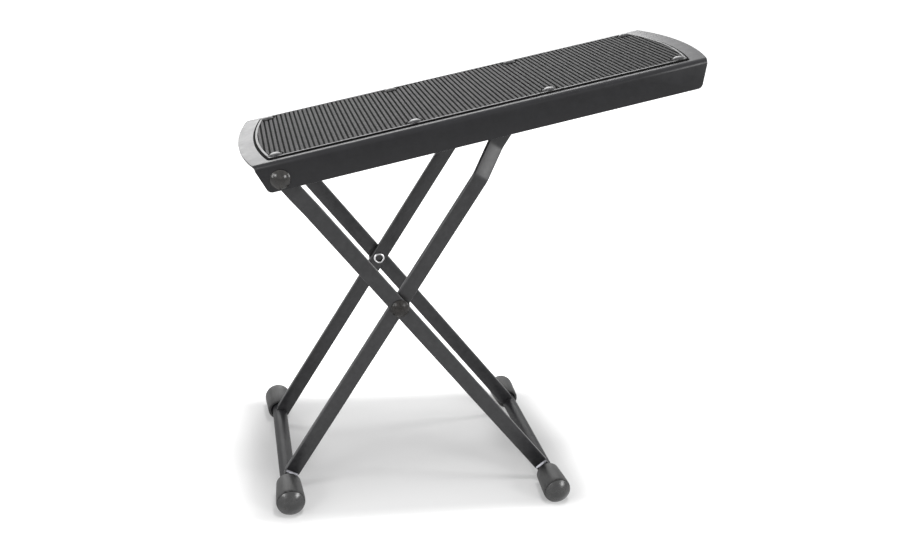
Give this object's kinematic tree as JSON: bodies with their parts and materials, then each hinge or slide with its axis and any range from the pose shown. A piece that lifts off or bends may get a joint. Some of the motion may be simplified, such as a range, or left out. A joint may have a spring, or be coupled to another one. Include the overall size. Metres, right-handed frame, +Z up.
{
  "type": "guitar footrest",
  "caption": "folding guitar footrest with a sloping ribbed rubber deck on crossed flat-bar legs, notched under the deck to set its height",
  "frame": {"origin": "on the floor, under the middle of the deck's own length, in the plane of symmetry", "axes": "+X along the deck towards its high end, +Y across the width towards the back legs, +Z up from the floor"},
  "size_m": [0.2746, 0.1512, 0.2966],
  "materials": {
    "black_paint": "satin",
    "mat_rubber": "matte",
    "cap_rubber": "matte",
    "black_rivet": "gloss",
    "black_nylon": "matte",
    "bare_steel": "satin",
    "zinc_rod": "satin"
  },
  "bodies": {
    "outer_frame": {"outer_leg_front": "black_paint", "outer_leg_back": "black_paint", "outer_floor_tube": "black_paint", "outer_leg_welds": "black_paint", "outer_foot_cap_front": "cap_rubber", "outer_foot_cap_back": "cap_rubber", "scissor_pins": "black_paint", "scissor_rings": "bare_steel", "scissor_washers": "black_nylon", "deck_pivot_pins": "black_rivet", "deck_pivot_rings": "bare_steel", "deck_pivot_spacers": "black_nylon"},
    "inner_frame": {"inner_leg_front": "black_paint", "inner_leg_back": "black_paint", "inner_floor_tube": "black_paint", "inner_leg_welds": "black_paint", "inner_foot_cap_front": "cap_rubber", "inner_foot_cap_back": "cap_rubber", "notch_rod": "zinc_rod"},
    "deck": {"deck_plate": "black_paint", "tread_mat": "mat_rubber", "tread_rivets": "black_rivet", "notch_rack_front": "black_paint", "notch_rack_back": "black_paint"}
  },
  "joints": [
    {"name": "scissor", "type": "hinge", "parent": "outer_frame", "child": "inner_frame", "pos_m": [-0.04026, 0, 0.13174], "axis": [0, 1, 0], "range_deg": [0, 110.3]},
    {"name": "deck_pivot", "type": "hinge", "parent": "outer_frame", "child": "deck", "pos_m": [-0.1155, 0, 0.21538], "axis": [0, 1, 0], "range_deg": [0, 64]}
  ],
  "couplings": [
    {"joint": "deck_pivot", "follows": "scissor", "ratio": 0.57672}
  ]
}
